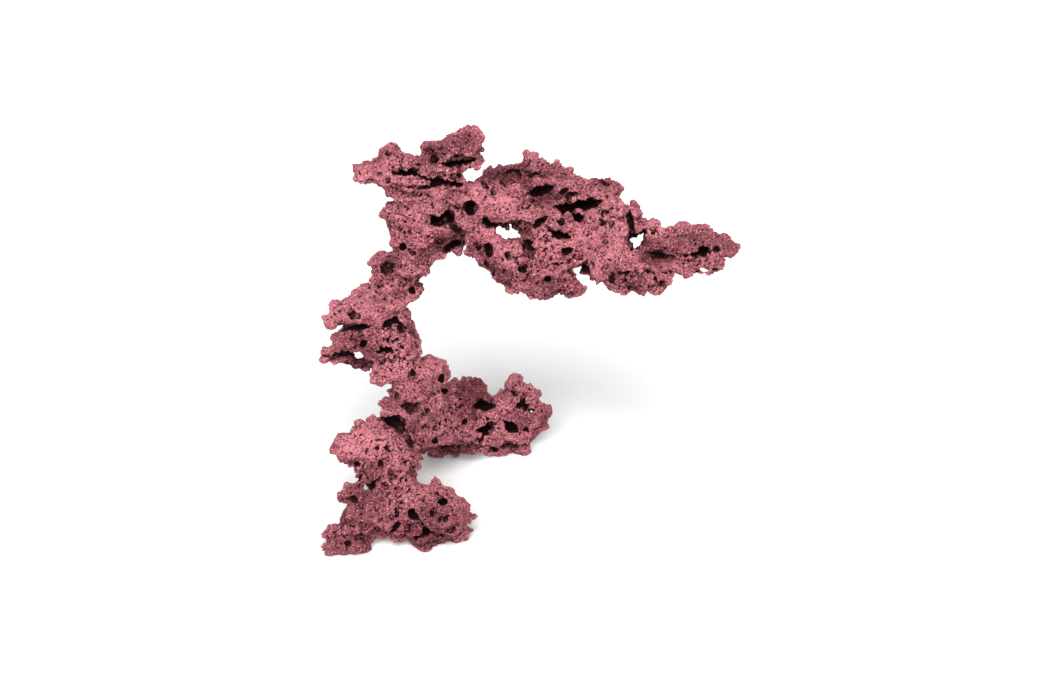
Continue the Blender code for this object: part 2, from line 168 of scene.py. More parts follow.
# Hollows sunk into the front, where the front view shows them: its pixel across and down, then
# width, height and depth in millimetres, and the angle that the hollow rises to the right.
CROWN_HOLLOWS = [
    (434, 161, 11, 9, 12, 0),
    (418, 165, 9, 7, 9, 0),
    (404, 173, 28, 6, 18, 0),
    (436, 180, 28, 5, 16, -4),
    (424, 187, 38, 5, 16, 0),
    (456, 184, 16, 6, 16, 0),
    (460, 162, 34, 7, 18, 12),
    (419, 178, 9, 4, 10, -20),
    (378, 174, 9, 5, 7, 0),
    (368, 158, 10, 10, 4, -40),
    (388, 153, 9, 7, 5, 0),
    (406, 154, 10, 7, 5, 0),
    (468, 134, 9, 8, 5, 0),
    (422, 195, 26, 8, 4, -15),
    (397, 187, 12, 7, 6, 0),
    (395, 162, 3, 8, 8, 0),
]
COLUMN_HOLLOWS = [
    (439, 217, 12, 7, 12, 55),
    (455, 227, 24, 8, 7, -48),
    (438, 243, 11, 11, 18, 20),
    (452, 245, 20, 8, 18, 30),
    (403, 246, 8, 10, 12, 0),
    (388, 267, 15, 14, 10, 0),
    (413, 253, 12, 6, 5, -35),
    (412, 290, 7, 9, 10, 20),
    (343, 327, 13, 8, 8, 0),
    (357, 327, 24, 5, 16, 4),
    (355, 317, 14, 9, 4, 0),
    (391, 322, 19, 6, 14, 22),
    (401, 329, 10, 7, 10, -35),
    (363, 344, 10, 8, 13, 30),
    (384, 349, 14, 7, 13, 0),
    (374, 353, 22, 5, 14, -4),
    (382, 362, 9, 6, 7, -35),
    (441, 379, 7, 11, 12, 0),
    (412, 373, 6, 6, 6, 0),
    (433, 395, 14, 4, 8, 30),
    (446, 391, 8, 5, 8, 0),
    (393, 396, 11, 9, 8, 0),
    (412, 408, 26, 12, 6, 0),
    (427, 410, 5, 7, 7, 0),
    (393, 422, 15, 12, 9, -30),
    (406, 434, 20, 6, 5, -62),
]
REAR_FOOT_HOLLOWS = [
    (484, 406, 22, 12, 16, 0),
    (484, 428, 16, 13, 16, 0),
    (480, 439, 5, 10, 10, -70),
    (511, 427, 13, 13, 16, 0),
    (526, 431, 6, 8, 9, 0),
    (519, 405, 9, 7, 6, 0),
    (463, 422, 8, 6, 8, 20),
    (445, 421, 6, 6, 6, 0),
    (435, 441, 7, 6, 7, 0),
    (494, 449, 10, 7, 12, 0),
]
FRONT_LEG_HOLLOWS = [
    (343, 464, 8, 6, 9, -35),
    (357, 463, 6, 6, 7, 0),
    (381, 464, 6, 8, 8, 0),
    (354, 500, 7, 8, 5, -40),
    (372, 487, 8, 8, 12, 0),
    (443, 504, 12, 10, 13, 0),
    (435, 494, 12, 4, 9, 0),
    (414, 514, 9, 12, 12, 0),
    (395, 527, 16, 6, 10, 45),
    (376, 528, 9, 5, 8, 0),
    (427, 531, 10, 10, 10, -40),
    (440, 536, 10, 6, 9, 0),
    (416, 538, 8, 6, 6, 0),
    (452, 529, 18, 8, 6, 30),
]
CANOPY_HOLLOWS = [
    (578, 206, 44, 9, 24, 3),
    (569, 209, 22, 9, 24, 20),
    (576, 218, 15, 10, 16, 12),
    (571, 195, 11, 5, 9, 0),
    (563, 193, 12, 5, 9, 50),
    (527, 175, 78, 14, 6, 9),
    (519, 197, 8, 6, 8, 0),
    (510, 174, 34, 10, 7, 14),
    (607, 198, 6, 6, 7, 0),
    (607, 186, 16, 8, 5, -35),
    (540, 222, 18, 6, 10, 42),
    (560, 234, 22, 6, 10, -18),
    (489, 222, 14, 8, 9, -20),
    (513, 224, 18, 5, 9, -8),
    (470, 208, 9, 14, 13, 0),
    (606, 242, 9, 6, 8, 0),
    (616, 228, 5, 4, 6, 0),
    (583, 265, 10, 9, 10, 45),
    (611, 276, 9, 8, 10, 0),
    (623, 273, 12, 4, 7, 0),
    (655, 280, 7, 7, 6, 0),
]
LOBE_HOLLOWS = [
    (489, 250, 10, 16, 14, 15),
    (493, 272, 9, 15, 9, 15),
    (522, 269, 10, 8, 11, 0),
    (548, 279, 8, 8, 9, 0),
    (557, 264, 8, 6, 7, -20),
    (532, 247, 10, 6, 3, -30),
    (566, 252, 12, 8, 7, 40),
    (508, 284, 12, 9, 5, 0),
]
SHELF_HOLLOWS = [
    (698, 254, 34, 4, 20, 8),
    (703, 250, 12, 10, 16, 0),
    (717, 249, 9, 8, 10, -40),
]
THROUGH_HOLES = [
    (508, 232, 25, 6, 60, -15),
    (359, 356, 10, 7, 50, 0),
    (366, 487, 6, 6, 50, 0),
    (531, 411, 8, 6, 50, 0),
]
HOLLOWS = (
    THROUGH_HOLES
    + CROWN_HOLLOWS
    + COLUMN_HOLLOWS
    + REAR_FOOT_HOLLOWS
    + FRONT_LEG_HOLLOWS
    + CANOPY_HOLLOWS
    + LOBE_HOLLOWS
    + SHELF_HOLLOWS
)

# Crevices between the masses: width and depth in millimetres, and the pixels that the crevice runs by.
CREVICES = [
    (4.5, 14, ((392, 173), (402, 172), (415, 174), (426, 179), (448, 180))),
    (4.5, 14, ((408, 186), (425, 187), (437, 184), (452, 184), (463, 182))),
    (5.0, 14, ((443, 164), (455, 164), (463, 162), (472, 160), (478, 158))),
    (6.0, 10, ((432, 221), (440, 216), (448, 210))),
    (7.0, 6, ((446, 212), (455, 224), (466, 237))),
    (8.0, 14, ((432, 246), (441, 242), (451, 239))),
    (5.0, 12, ((443, 251), (453, 245), (463, 238))),
    (5.5, 9, ((481, 180), (485, 187), (493, 192))),
    (7.0, 6, ((524, 195), (535, 195), (546, 190), (557, 185))),
    (5.0, 7, ((527, 209), (533, 202), (539, 198))),
    (10.0, 18, ((556, 207), (568, 206), (580, 204), (592, 203), (602, 202))),
    (5.0, 9, ((557, 199), (561, 194), (568, 189))),
    (4.5, 8, ((568, 197), (576, 195), (584, 195))),
    (5.0, 7, ((484, 221), (494, 223), (502, 224), (511, 222), (522, 220))),
    (6.0, 10, ((532, 228), (538, 221), (548, 216))),
    (6.5, 12, ((548, 228), (555, 234), (569, 237))),
    (5.0, 4, ((531, 254), (533, 258), (537, 263))),
    (5.0, 8, ((560, 256), (568, 250), (575, 246))),
    (6.0, 9, ((587, 261), (582, 267), (576, 272))),
    (6.5, 12, ((628, 212), (630, 222), (634, 234))),
    (4.5, 6, ((598, 176), (602, 183), (610, 188))),
    (8.0, 14, ((632, 250), (638, 241), (646, 230))),
    (6.0, 7, ((646, 254), (656, 256), (667, 257), (678, 257))),
    (3.0, 12, ((678, 257), (690, 255), (702, 253), (716, 251))),
    (6.0, 8, ((486, 262), (491, 271), (497, 283))),
    (6.5, 10, ((339, 328), (346, 326), (355, 325), (370, 326))),
    (5.0, 12, ((382, 328), (387, 322), (396, 320), (403, 325), (407, 331))),
    (5.0, 12, ((355, 353), (365, 351), (376, 353), (390, 349))),
    (4.5, 8, ((431, 396), (439, 392), (449, 391))),
    (6.5, 9, ((384, 397), (392, 396), (400, 397))),
    (9.0, 8, ((380, 416), (390, 420), (400, 427), (407, 437), (412, 449))),
    (7.0, 14, ((474, 406), (482, 404), (489, 408), (495, 407))),
    (5.5, 10, ((486, 431), (482, 438), (478, 446))),
    (6.0, 12, ((505, 422), (512, 427), (519, 433))),
    (3.5, 4, ((515, 398), (520, 403), (525, 407))),
    (4.0, 8, ((389, 534), (395, 528), (401, 521))),
    (6.0, 8, ((422, 536), (428, 530), (436, 534), (446, 537))),
    (4.0, 3, ((352, 499), (356, 503), (360, 508))),
    (4.0, 6, ((395, 507), (397, 513), (397, 519))),
    (5.0, 7, ((333, 462), (343, 465), (352, 462), (362, 464))),
    (5.0, 6, ((371, 487), (376, 481), (384, 476))),
]

# Stone behind the deep slits and creases, as egg shapes: x, y, z of the middle, then
# half the width, depth and height, in millimetres, in the frame before centring.
BACKING_LUMPS = [
    (23, 72, 303, 16, 14, 8),
    (-2, 10, 262, 10, 12, 9),
    (140, 24, 255, 22, 12, 6),
    (-173, -92, 45, 9, 9, 11),
    (-183, 4, 153, 11, 10, 7),
    (-177, 14, 150, 7, 12, 6),
    (-108, -34, 74, 14, 16, 14),
]

# Places where the stone is darker (above 0) or paler (below 0) than elsewhere, partly its own tone, partly
# painted shade under ledges, on undersides and in cast shadow, and painted light on faces turned up to the
# light: the pixel, the patch's reach in millimetres and how strong it is.
CROWN_TONE_SHADE_AND_LIGHT = [
    (430, 160, 18, 1.0),
    (440, 146, 18, 0.8),
    (468, 140, 14, 0.7),
    (384, 152, 14, 0.5),
    (404, 166, 10, 0.3),
    (366, 175, 18, -0.7),
    (385, 178, 14, -0.5),
    (455, 157, 12, -0.4),
    (455, 142, 16, 0.8),
    (405, 165, 14, -0.8),
    (440, 183, 14, -0.7),
    (450, 160, 12, -0.7),
    (440, 183, 12, -0.6),
    (388, 165, 14, -0.5),
]
COLUMN_TONE_SHADE_AND_LIGHT = [
    (386, 222, 16, 0.8),
    (440, 240, 18, 1.0),
    (390, 268, 20, 0.8),
    (420, 262, 14, 0.5),
    (398, 294, 12, 0.6),
    (413, 335, 14, 0.8),
    (350, 340, 18, 0.8),
    (368, 345, 16, 0.9),
    (350, 362, 16, 1.0),
    (370, 372, 12, 0.5),
    (410, 408, 18, 0.8),
    (392, 400, 14, 0.6),
    (410, 206, 20, -1.0),
    (430, 218, 16, -0.6),
    (455, 210, 18, -0.9),
    (430, 191, 14, -0.5),
    (373, 288, 16, -0.8),
    (360, 312, 22, -0.8),
    (332, 312, 12, -0.7),
    (392, 345, 12, -0.7),
    (400, 364, 20, -1.0),
    (358, 364, 14, 1.0),
    (388, 235, 16, 0.7),
    (445, 213, 14, -0.9),
    (447, 213, 12, -0.8),
    (430, 222, 14, -0.6),
    (405, 208, 12, -0.4),
    (445, 236, 12, 0.6),
    (350, 357, 12, 1.0),
    (372, 355, 12, 0.6),
    (345, 297, 12, 0.7),
    (393, 262, 14, 0.6),
    (410, 335, 14, 0.6),
    (385, 396, 14, 0.6),
    (375, 288, 16, -0.7),
    (390, 347, 14, -0.6),
    (396, 321, 12, -0.6),
    (326, 358, 10, -0.8),
]
REAR_FOOT_TONE_SHADE_AND_LIGHT = [
    (425, 385, 14, 0.4),
    (465, 386, 24, 1.0),
    (474, 402, 22, 1.0),
    (458, 420, 16, 0.5),
    (520, 422, 18, 0.9),
    (545, 418, 18, 0.7),
    (508, 442, 16, 0.7),
    (455, 450, 18, 1.0),
    (470, 448, 16, 1.0),
    (425, 452, 12, 0.7),
    (431, 424, 16, -1.0),
    (437, 400, 14, -0.6),
    (489, 443, 10, -0.9),
    (503, 408, 10, -0.5),
    (528, 386, 14, -0.4),
    (420, 452, 14, 1.0),
    (505, 392, 12, 0.7),
    (478, 388, 22, 0.8),
    (530, 440, 14, 0.6),
    (445, 448, 16, 0.6),
    (468, 396, 18, 0.9),
    (470, 416, 16, 0.7),
    (453, 446, 14, 0.9),
    (418, 453, 12, 0.9),
    (432, 424, 14, -0.7),
]
FRONT_LEG_TONE_SHADE_AND_LIGHT = [
    (400, 430, 16, 0.8),
    (374, 464, 20, 0.8),
    (350, 462, 12, 0.6),
    (372, 480, 16, 0.5),
    (354, 498, 24, 1.0),
    (375, 505, 26, 0.8),
    (350, 520, 20, 0.6),
    (365, 540, 22, 0.9),
    (395, 525, 20, 0.7),
    (422, 518, 22, 0.8),
    (445, 512, 22, 0.8),
    (440, 535, 24, 1.0),
    (418, 540, 20, 1.0),
    (463, 522, 16, 0.6),
    (365, 441, 24, -0.9),
    (345, 447, 14, -0.6),
    (392, 447, 14, -0.7),
    (458, 508, 9, -0.6),
    (410, 506, 10, -0.3),
    (412, 428, 14, 0.9),
    (337, 550, 18, 0.8),
    (342, 515, 14, 0.6),
    (343, 516, 14, 0.7),
    (440, 537, 14, 0.6),
    (375, 444, 18, -0.5),
]
CANOPY_TONE_SHADE_AND_LIGHT = [
    (496, 178, 26, 1.0),
    (510, 173, 28, 1.0),
    (524, 170, 24, 0.9),
    (536, 174, 20, 0.8),
    (552, 173, 18, 0.7),
    (532, 203, 20, 1.0),
    (558, 207, 20, 1.0),
    (545, 214, 14, 0.6),
    (500, 220, 10, 0.5),
    (460, 233, 16, 1.0),
    (612, 272, 14, 0.8),
    (612, 184, 16, 0.8),
    (478, 194, 18, -0.8),
    (500, 200, 18, -0.9),
    (531, 160, 8, -1.0),
    (546, 166, 10, -0.4),
    (485, 232, 12, -0.7),
    (598, 202, 18, -0.8),
    (610, 225, 22, -1.0),
    (625, 248, 22, -1.0),
    (598, 258, 16, -0.7),
    (556, 198, 18, 0.9),
    (602, 183, 14, 0.7),
    (570, 218, 12, 0.6),
    (470, 203, 14, -0.8),
    (535, 167, 14, -1.0),
    (600, 212, 16, -0.8),
    (617, 250, 14, -0.8),
    (487, 178, 12, 0.9),
    (523, 186, 16, 0.7),
    (540, 197, 18, 0.7),
    (558, 207, 18, 0.7),
    (574, 205, 12, 0.6),
    (510, 208, 14, -0.5),
    (590, 200, 12, -0.6),
    (603, 222, 14, -0.6),
    (620, 253, 12, -0.5),
    (468, 205, 12, -0.8),
]
LOBE_TONE_SHADE_AND_LIGHT = [
    (528, 237, 12, 0.8),
    (482, 255, 18, 1.0),
    (500, 276, 16, 0.8),
    (528, 280, 20, 0.7),
    (560, 290, 16, 0.6),
    (580, 290, 12, 0.6),
    (510, 256, 16, -0.9),
    (550, 243, 18, -0.9),
    (580, 236, 18, -0.7),
    (470, 238, 14, 0.6),
    (550, 292, 18, 0.6),
    (503, 282, 14, 0.8),
    (508, 258, 12, -0.7),
    (528, 258, 10, -0.5),
    (552, 240, 14, -0.5),
    (520, 240, 10, 0.7),
    (490, 262, 12, 0.5),
]
SHELF_TONE_SHADE_AND_LIGHT = [
    (632, 284, 18, 0.9),
    (650, 256, 20, 1.0),
    (668, 256, 18, 1.0),
    (695, 238, 26, 0.7),
    (728, 245, 22, 0.8),
    (655, 231, 16, -1.0),
    (702, 270, 14, -0.8),
    (645, 260, 14, 0.6),
    (690, 232, 18, 0.5),
    (655, 232, 12, -0.8),
    (642, 247, 12, 0.7),
    (652, 263, 12, 0.7),
    (671, 255, 10, 0.8),
    (636, 287, 12, 0.8),
]
TONE_SHADE_AND_LIGHT = (
    CROWN_TONE_SHADE_AND_LIGHT
    + COLUMN_TONE_SHADE_AND_LIGHT
    + REAR_FOOT_TONE_SHADE_AND_LIGHT
    + FRONT_LEG_TONE_SHADE_AND_LIGHT
    + CANOPY_TONE_SHADE_AND_LIGHT
    + LOBE_TONE_SHADE_AND_LIGHT
    + SHELF_TONE_SHADE_AND_LIGHT
)

# The colours of the stone, in linear light; the pale and deep mauves also paint light and shade in the dark
# and pale patches
PALE_MAUVE = (0.46, 0.158, 0.184, 1)
MID_MAUVE = (0.205, 0.052, 0.067, 1)
DEEP_MAUVE = (0.066, 0.012, 0.017, 1)
SPARKLE = (0.72, 0.34, 0.38, 1)
# Near-black painted shade, laid into hollows, pores and pinpricks where shade falls
PAINTED_SHADE_DARK = (0.008, 0.0012, 0.0018, 1)
FLOOR_GREY = (0.64, 0.64, 0.64, 1)

# How fine the colours' patterns are, in noise cells per metre
PATCH_FINENESS = 28
BLOTCH_FINENESS = 150
PINPRICK_FINENESS = 520
SPECK_FINENESS = 600
SPARKLE_FINENESS = 640
SAND_FINENESS = 900

# How matt the stone and the floor are, how far the sand grains stand out, in millimetres, and how far the
# floor reaches, in metres
STONE_ROUGHNESS = (0.86, 1.0)
STONE_SHEEN = 0.1
FLOOR_ROUGHNESS = 0.9
SAND_STRENGTH = 0.9
SAND_HEIGHT = 0.9
FLOOR_REACH = 12

# The soft studio lights: where each one shines to, its strength and how wide it is, in degrees
LIGHTS = {
    "key": ((0.02, 1.15, -1), 7.8, 48),
    "back_fill": ((0.35, -1, -0.3), 2.4, 90),
}
SKY_STRENGTH = 0.2


def view_axes():
    back = Vector((0, -math.cos(VIEW_RISE), math.sin(VIEW_RISE)))
    across = Vector((1, 0, 0))
    up = back.cross(across)
    return across, up, back


def place_camera():
    back = view_axes()[2]
    camera = bpy.data.objects.new("camera", bpy.data.cameras.new("camera"))
    camera.data.lens = LENS
    camera.data.sensor_width = SENSOR
    camera.location = VIEW_TARGET + back * VIEW_DISTANCE
    camera.rotation_euler = (-back).to_track_quat("-Z", "Y").to_euler()
    bpy.context.scene.collection.objects.link(camera)
    bpy.context.scene.camera = camera


def object_from(bm, name):
    mesh = bpy.data.meshes.new(name)
    bm.to_mesh(mesh)
    bm.free()
    obj = bpy.data.objects.new(name, mesh)
    bpy.context.scene.collection.objects.link(obj)
    return obj


def settle(obj):
    """Keeps the shape that the modifiers give, and takes them away."""
    graph = bpy.context.evaluated_depsgraph_get()
    mesh = bpy.data.meshes.new_from_object(obj.evaluated_get(graph))
    obj.modifiers.clear()
    obj.data = mesh


def add_voxels(obj, size):
    fuse = obj.modifiers.new("voxels", "REMESH")
    fuse.mode = "VOXEL"
    fuse.voxel_size = size * MM


def add_smoothing(obj, rounds):
    smooth = obj.modifiers.new("smooth", "SMOOTH")
    smooth.factor = SMOOTHING_SHARE
    smooth.iterations = rounds


def add_cut(obj, cutter, operation):
    cut = obj.modifiers.new(cutter.name, "BOOLEAN")
    cut.operation = operation
    cut.solver = "MANIFOLD"
    cut.object = cutter


def closed_stone():
    """One stone, closed from the limbs, with its large forms."""
    bm = bmesh.new()
    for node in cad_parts.values():
        bm.from_mesh(node.data)
    for x, y, z, half_width, half_depth, half_height in BACKING_LUMPS:
        place = Matrix.Translation(Vector((x, y, z)) * MM + CENTRING)
        size = Matrix.Diagonal((half_width * MM, half_depth * MM, half_height * MM, 1))
        bmesh.ops.create_icosphere(bm, subdivisions=BALL_ROUNDNESS, radius=1, matrix=place @ size)
    stone = object_from(bm, "stone")
    grow = stone.modifiers.new("close_gaps", "DISPLACE")
    grow.strength = CLOSE_GAP * MM
    grow.mid_level = 0
    add_voxels(stone, FIRST_VOXEL)
    add_smoothing(stone, FACET_SMOOTHING)
    settle(stone)
    raise_surface(stone, blocks_and_lumps)
    add_voxels(stone, FIRST_VOXEL)
    settle(stone)
    return stone


def surface_of(obj):
    bm = bmesh.new()
    bm.from_mesh(obj.data)
    surface = BVHTree.FromBMesh(bm)
    bm.free()
    return surface


def struck_point(surface, pixel_across, pixel_down):
    """Where the sight line through a pixel of the front view meets the stone, and the line's direction."""
    across, up, back = view_axes()
    eye = VIEW_TARGET + back * VIEW_DISTANCE
    sight = (
        across * (pixel_across - VIEW_MIDDLE[0])
        - up * (pixel_down - VIEW_MIDDLE[1])
        - back * VIEW_SCALE
    ).normalized()
    return surface.ray_cast(eye, sight)[0], sight


def ball_shape():
    """The points and faces of a ball of radius 1."""
    bm = bmesh.new()
    bmesh.ops.create_icosphere(bm, subdivisions=BALL_ROUNDNESS, radius=1)
    points = [vert.co.copy() for vert in bm.verts]
    faces = [[vert.index for vert in face.verts] for face in bm.faces]
    bm.free()
    return points, faces


def hollow_points(surface, ball, hollow):
    """The points of one hollow's cutter: a wavering egg shape, sunk into the stone along the sight line."""
    pixel_across, pixel_down, width, height, depth, tilt = hollow
    point, sight = struck_point(surface, pixel_across, pixel_down)
    if point is None:
        return []
    place = (
        Matrix.Translation(point)
        @ (-sight).to_track_quat("Z", "Y").to_matrix().to_4x4()
        @ Matrix.Rotation(math.radians(tilt), 4, "Z")
        @ Matrix.Diagonal((width / 2 * MM, height / 2 * MM, depth * MM, 1))
    )
    waver = min(WAVER_MOST, WAVER_LEAST + WAVER_SHARE * min(width, height)) * MM
    smooth_points = [place @ co for co in ball]
    return [co + noise.noise_vector(co / (WAVER_SIZE * MM)) * waver for co in smooth_points]


def crevice_hollows(crevice):
    """A row of small hollows along a crevice, narrower towards its ends."""
    width, depth, corners = crevice
    steps = []
    for (x0, y0), (x1, y1) in zip(corners, corners[1:]):
        count = max(1, round(math.hypot(x1 - x0, y1 - y0) / (CREVICE_STEP * width)))
        tilt = math.degrees(math.atan2(y0 - y1, x1 - x0))
        for i in range(count):
            steps.append((x0 + (x1 - x0) * i / count, y0 + (y1 - y0) * i / count, tilt))
    hollows = []
    for number, (across, down, tilt) in enumerate(steps):
        taper = math.sin(math.pi * (number + 1) / (len(steps) + 1)) ** CREVICE_TAPER
        spot = Vector((across, down, width)) / (CREVICE_WAVER_SIZE * width)
        waver = 1 + CREVICE_WAVER * noise.noise(spot)
        length = CREVICE_STEP_LENGTH * width
        hollows.append((across, down, length, width * taper * waver, depth * taper, tilt))
    return hollows


def hollow_cutter(stone):
    """One body of all the hollows and crevices, placed on the stone's front."""
    surface = surface_of(stone)
    ball, ball_faces = ball_shape()
    hollows = list(HOLLOWS)
    for crevice in CREVICES:
        hollows += crevice_hollows(crevice)
    points = []
    faces = []
    for hollow in hollows:
        new_points = hollow_points(surface, ball, hollow)
        if new_points:
            faces += [[index + len(points) for index in face] for face in ball_faces]
            points += new_points
    mesh = bpy.data.meshes.new("hollow_cutter")
    mesh.from_pydata(points, [], faces)
    cutter = bpy.data.objects.new("hollow_cutter", mesh)
    bpy.context.scene.collection.objects.link(cutter)
    add_voxels(cutter, CUTTER_VOXEL)
    settle(cutter)
    return cutter


def points_of(mesh, what):
    values = np.empty(len(mesh.vertices) * 3)
    mesh.vertices.foreach_get(what, values)
    return values.reshape(-1, 3)


def warped(place):
    return place + noise.noise_vector(place / (WARP_SIZE * MM)) * WARP_REACH * MM


def ruggedness(place):
    """How rough the stone is round a place, from RUGGED_LEAST on its sandy faces to 1."""
    rugged = RUGGED_MIDDLE + RUGGED_SWING * noise.noise(place / (RUGGED_SIZE * MM))
    return min(1.0, max(RUGGED_LEAST, rugged))


def blocks_and_lumps(place):
    """How far the large forms stand out at a place, in millimetres."""
    moved = warped(place)
    distances = noise.voronoi(moved / (BLOCK_SIZE * MM))[0]
    block = min(BLOCK_EDGE, distances[1] - distances[0]) / BLOCK_EDGE - BLOCK_SUNK_SHARE
    lump = noise.noise(moved / (LUMP_SIZE * MM))
    layer = Vector((moved.x / LEDGE_LENGTH, moved.y / LEDGE_LENGTH, moved.z / LEDGE_THICKNESS)) / MM
    ledge = noise.noise(layer)
    block_share = SANDY_BLOCK_SHARE + (1 - SANDY_BLOCK_SHARE) * ruggedness(place)
    return block * BLOCK_HEIGHT * block_share + ledge * LEDGE_HEIGHT + lump * LUMP_HEIGHT - SHRINK


def pit_share(place, spacing, reach):
    """How deep the pit round a place is, from 0 outside it to 1 at its middle."""
    distances, centres = noise.voronoi(place / (spacing * MM))
    own_reach = reach * (PIT_MIDDLE + noise.noise(centres[0] * PIT_SPREAD))
    inside = max(0.0, 1 - distances[0] / max(own_reach, PIT_LEAST_REACH))
    return min(1.0, PIT_STEEPNESS * inside)


def fine_relief(place):
    """How far the small forms stand out at a place, in millimetres."""
    moved = warped(place)
    rugged = ruggedness(place)
    scoops = pit_share(moved, SCOOP_SPACING, SCOOP_REACH)
    pores = pit_share(moved, PORE_SPACING, PORE_REACH)
    cracks = max(0.0, 1 - abs(noise.noise(moved / (CRACK_SIZE * MM))) / CRACK_WIDTH)
    crust = noise.fractal(place / (CRUST_SIZE * MM), CRUST_FINENESS, CRUST_STEP, CRUST_OCTAVES)
    grains = noise.noise(place / (GRAIN_SIZE * MM))
    return (
        crust * CRUST_HEIGHT * rugged
        - scoops * SCOOP_DEPTH * rugged
        - cracks * CRACK_DEPTH * max(0.0, rugged - CRACKS_FROM_RUGGED)
        - pores * PORE_DEPTH
        + grains * GRAIN_HEIGHT
    )


def raise_surface(stone, height_at):
    """Moves each point along its normal, and less the closer it is to the floor."""
    mesh = stone.data
    places = points_of(mesh, "co")
    normals = points_of(mesh, "normal")
    heights = np.array([height_at(Vector(place)) for place in places])
    heights *= np.clip(places[:, 2] / (FLOOR_FLAT * MM), 0, 1)
    places += normals * heights[:, None] * MM
    places[:, 2] = np.maximum(places[:, 2], 0)
    mesh.vertices.foreach_set("co", places.ravel())
    mesh.update()


def keep_largest_body(obj):
    bm = bmesh.new()
    bm.from_mesh(obj.data)
    bm.verts.ensure_lookup_table()
    seen = [False] * len(bm.verts)
    bodies = []
    for start in bm.verts:
        if seen[start.index]:
            continue
        seen[start.index] = True
        body = [start]
        for vert in body:
            for edge in vert.link_edges:
                other = edge.other_vert(vert)
                if not seen[other.index]:
                    seen[other.index] = True
                    body.append(other)
        bodies.append(body)
    bodies.sort(key=len, reverse=True)
    for body in bodies[1:]:
        bmesh.ops.delete(bm, geom=body, context="VERTS")
    bm.to_mesh(obj.data)
    bm.free()


def smoothed_points(stone, rounds):
    copy = stone.copy()
    bpy.context.scene.collection.objects.link(copy)
    add_smoothing(copy, rounds)
    graph = bpy.context.evaluated_depsgraph_get()
    points = points_of(copy.evaluated_get(graph).data, "co")
    bpy.data.objects.remove(copy)
    return points


def spread_directions(count):
    """Directions spread evenly over a dome, close to its axis, which is +Z."""
    turn = math.pi * (3 - math.sqrt(5))
    directions = []
    for i in range(count):
        lean = math.asin(math.sqrt((i + 0.5) / count) * SHELTER_DOME)
        across = math.sin(lean) * math.cos(turn * i)
        along = math.sin(lean) * math.sin(turn * i)
        directions.append(Vector((across, along, math.cos(lean))))
    return directions


def sheltered_share(surface, place, normal, directions):
    """The share of the dome over a point that stone closes off within reach."""
    facing = normal.to_track_quat("Z", "Y")
    start = place + normal * SHELTER_START * MM
    reach = SHELTER_REACH * MM
    distances = [surface.ray_cast(start, facing @ direction, reach)[3] for direction in directions]
    return sum(distance is not None for distance in distances) / len(directions)


def averaged_over_edges(mesh, values, rounds):
    ends = np.empty(len(mesh.edges) * 2, dtype=np.int64)
    mesh.edges.foreach_get("vertices", ends)
    first, second = ends.reshape(-1, 2).T
    neighbours = np.bincount(ends, minlength=len(values)) + 1
    for _ in range(rounds):
        over_first = np.bincount(first, values[second], len(values))
        over_second = np.bincount(second, values[first], len(values))
        values = (values + over_first + over_second) / neighbours
    return values


def stored_value(mesh, name):
    values = np.empty(len(mesh.vertices))
    mesh.attributes[name].data.foreach_get("value", values)
    return values


def store_value(mesh, name, values):
    layer = mesh.attributes.new(name, "FLOAT", "POINT")
    layer.data.foreach_set("value", np.clip(values, 0, 1))


def store_sunk(mesh, smooth_places, places, normals):
    """Stores how far each point is sunk below the smoothed stone, from 0 on a crest to 1."""
    sunk = np.einsum("ij,ij->i", smooth_places - places, normals) / (SUNK_RANGE * MM)
    store_value(mesh, "sunk", sunk * EVEN_VALUE + EVEN_VALUE)


def store_shelter(mesh, surface, places, normals):
    """Stores how far the stone closes each point in, from 0 in the open to 1, for the painted shade in its
    hollows.
    """
    directions = spread_directions(SHELTER_RAYS)
    shelter = np.array([
        sheltered_share(surface, Vector(place), Vector(normal), directions)
        for place, normal in zip(places, normals)
    ])
    store_value(mesh, "sheltered", averaged_over_edges(mesh, shelter, SHELTER_AVERAGING))


def store_tone_shade_and_light(mesh, surface, places):
    """Stores the dark and pale patches, partly the stone's own tone and partly painted shade and painted
    light, from 0 where palest to 1 where darkest.
    """
    tone_shade_and_light_values = np.full(len(places), EVEN_VALUE)
    for across, down, reach, strength in TONE_SHADE_AND_LIGHT:
        middle = struck_point(surface, across, down)[0]
        if middle is not None:
            away = np.linalg.norm(places - np.array(middle), axis=1) / (reach * MM)
            tone_shade_and_light_values += EVEN_VALUE * strength * np.clip(1 - away, 0, 1) ** TONE_SHADE_AND_LIGHT_FADING
    store_value(mesh, "tone_shade_and_light", tone_shade_and_light_values)


def store_colour_values(stone):
    mesh = stone.data
    places = points_of(mesh, "co")
    normals = points_of(mesh, "normal")
    surface = surface_of(stone)
    store_sunk(mesh, smoothed_points(stone, SUNK_SMOOTHING), places, normals)
    store_shelter(mesh, surface, places, normals)
    store_tone_shade_and_light(mesh, surface, places)
    store_value(mesh, GROWN, np.ones(len(places)))


def points_tree(mesh):
    tree = KDTree(len(mesh.vertices))
    for vert in mesh.vertices:
        tree.insert(vert.co, vert.index)
    tree.balance()
    return tree


def match_cut_rims(limb, stone, stone_points):
    """Colours the points that the cut made like the stone's nearest ones, and shades the cut faces flat."""
    mesh = limb.data
    grown = stored_value(mesh, GROWN) > SURELY_GROWN
    made = np.flatnonzero(~grown)
    nearest = [stone_points.find(mesh.vertices[index].co)[1] for index in made]
    for name in COLOUR_VALUES:
        values = stored_value(mesh, name)
        values[made] = stored_value(stone.data, name)[nearest]
        mesh.attributes[name].data.foreach_set("value", values)
    for face in mesh.polygons:
        if not grown[list(face.vertices)].any():
            face.use_smooth = False
    mesh.update()


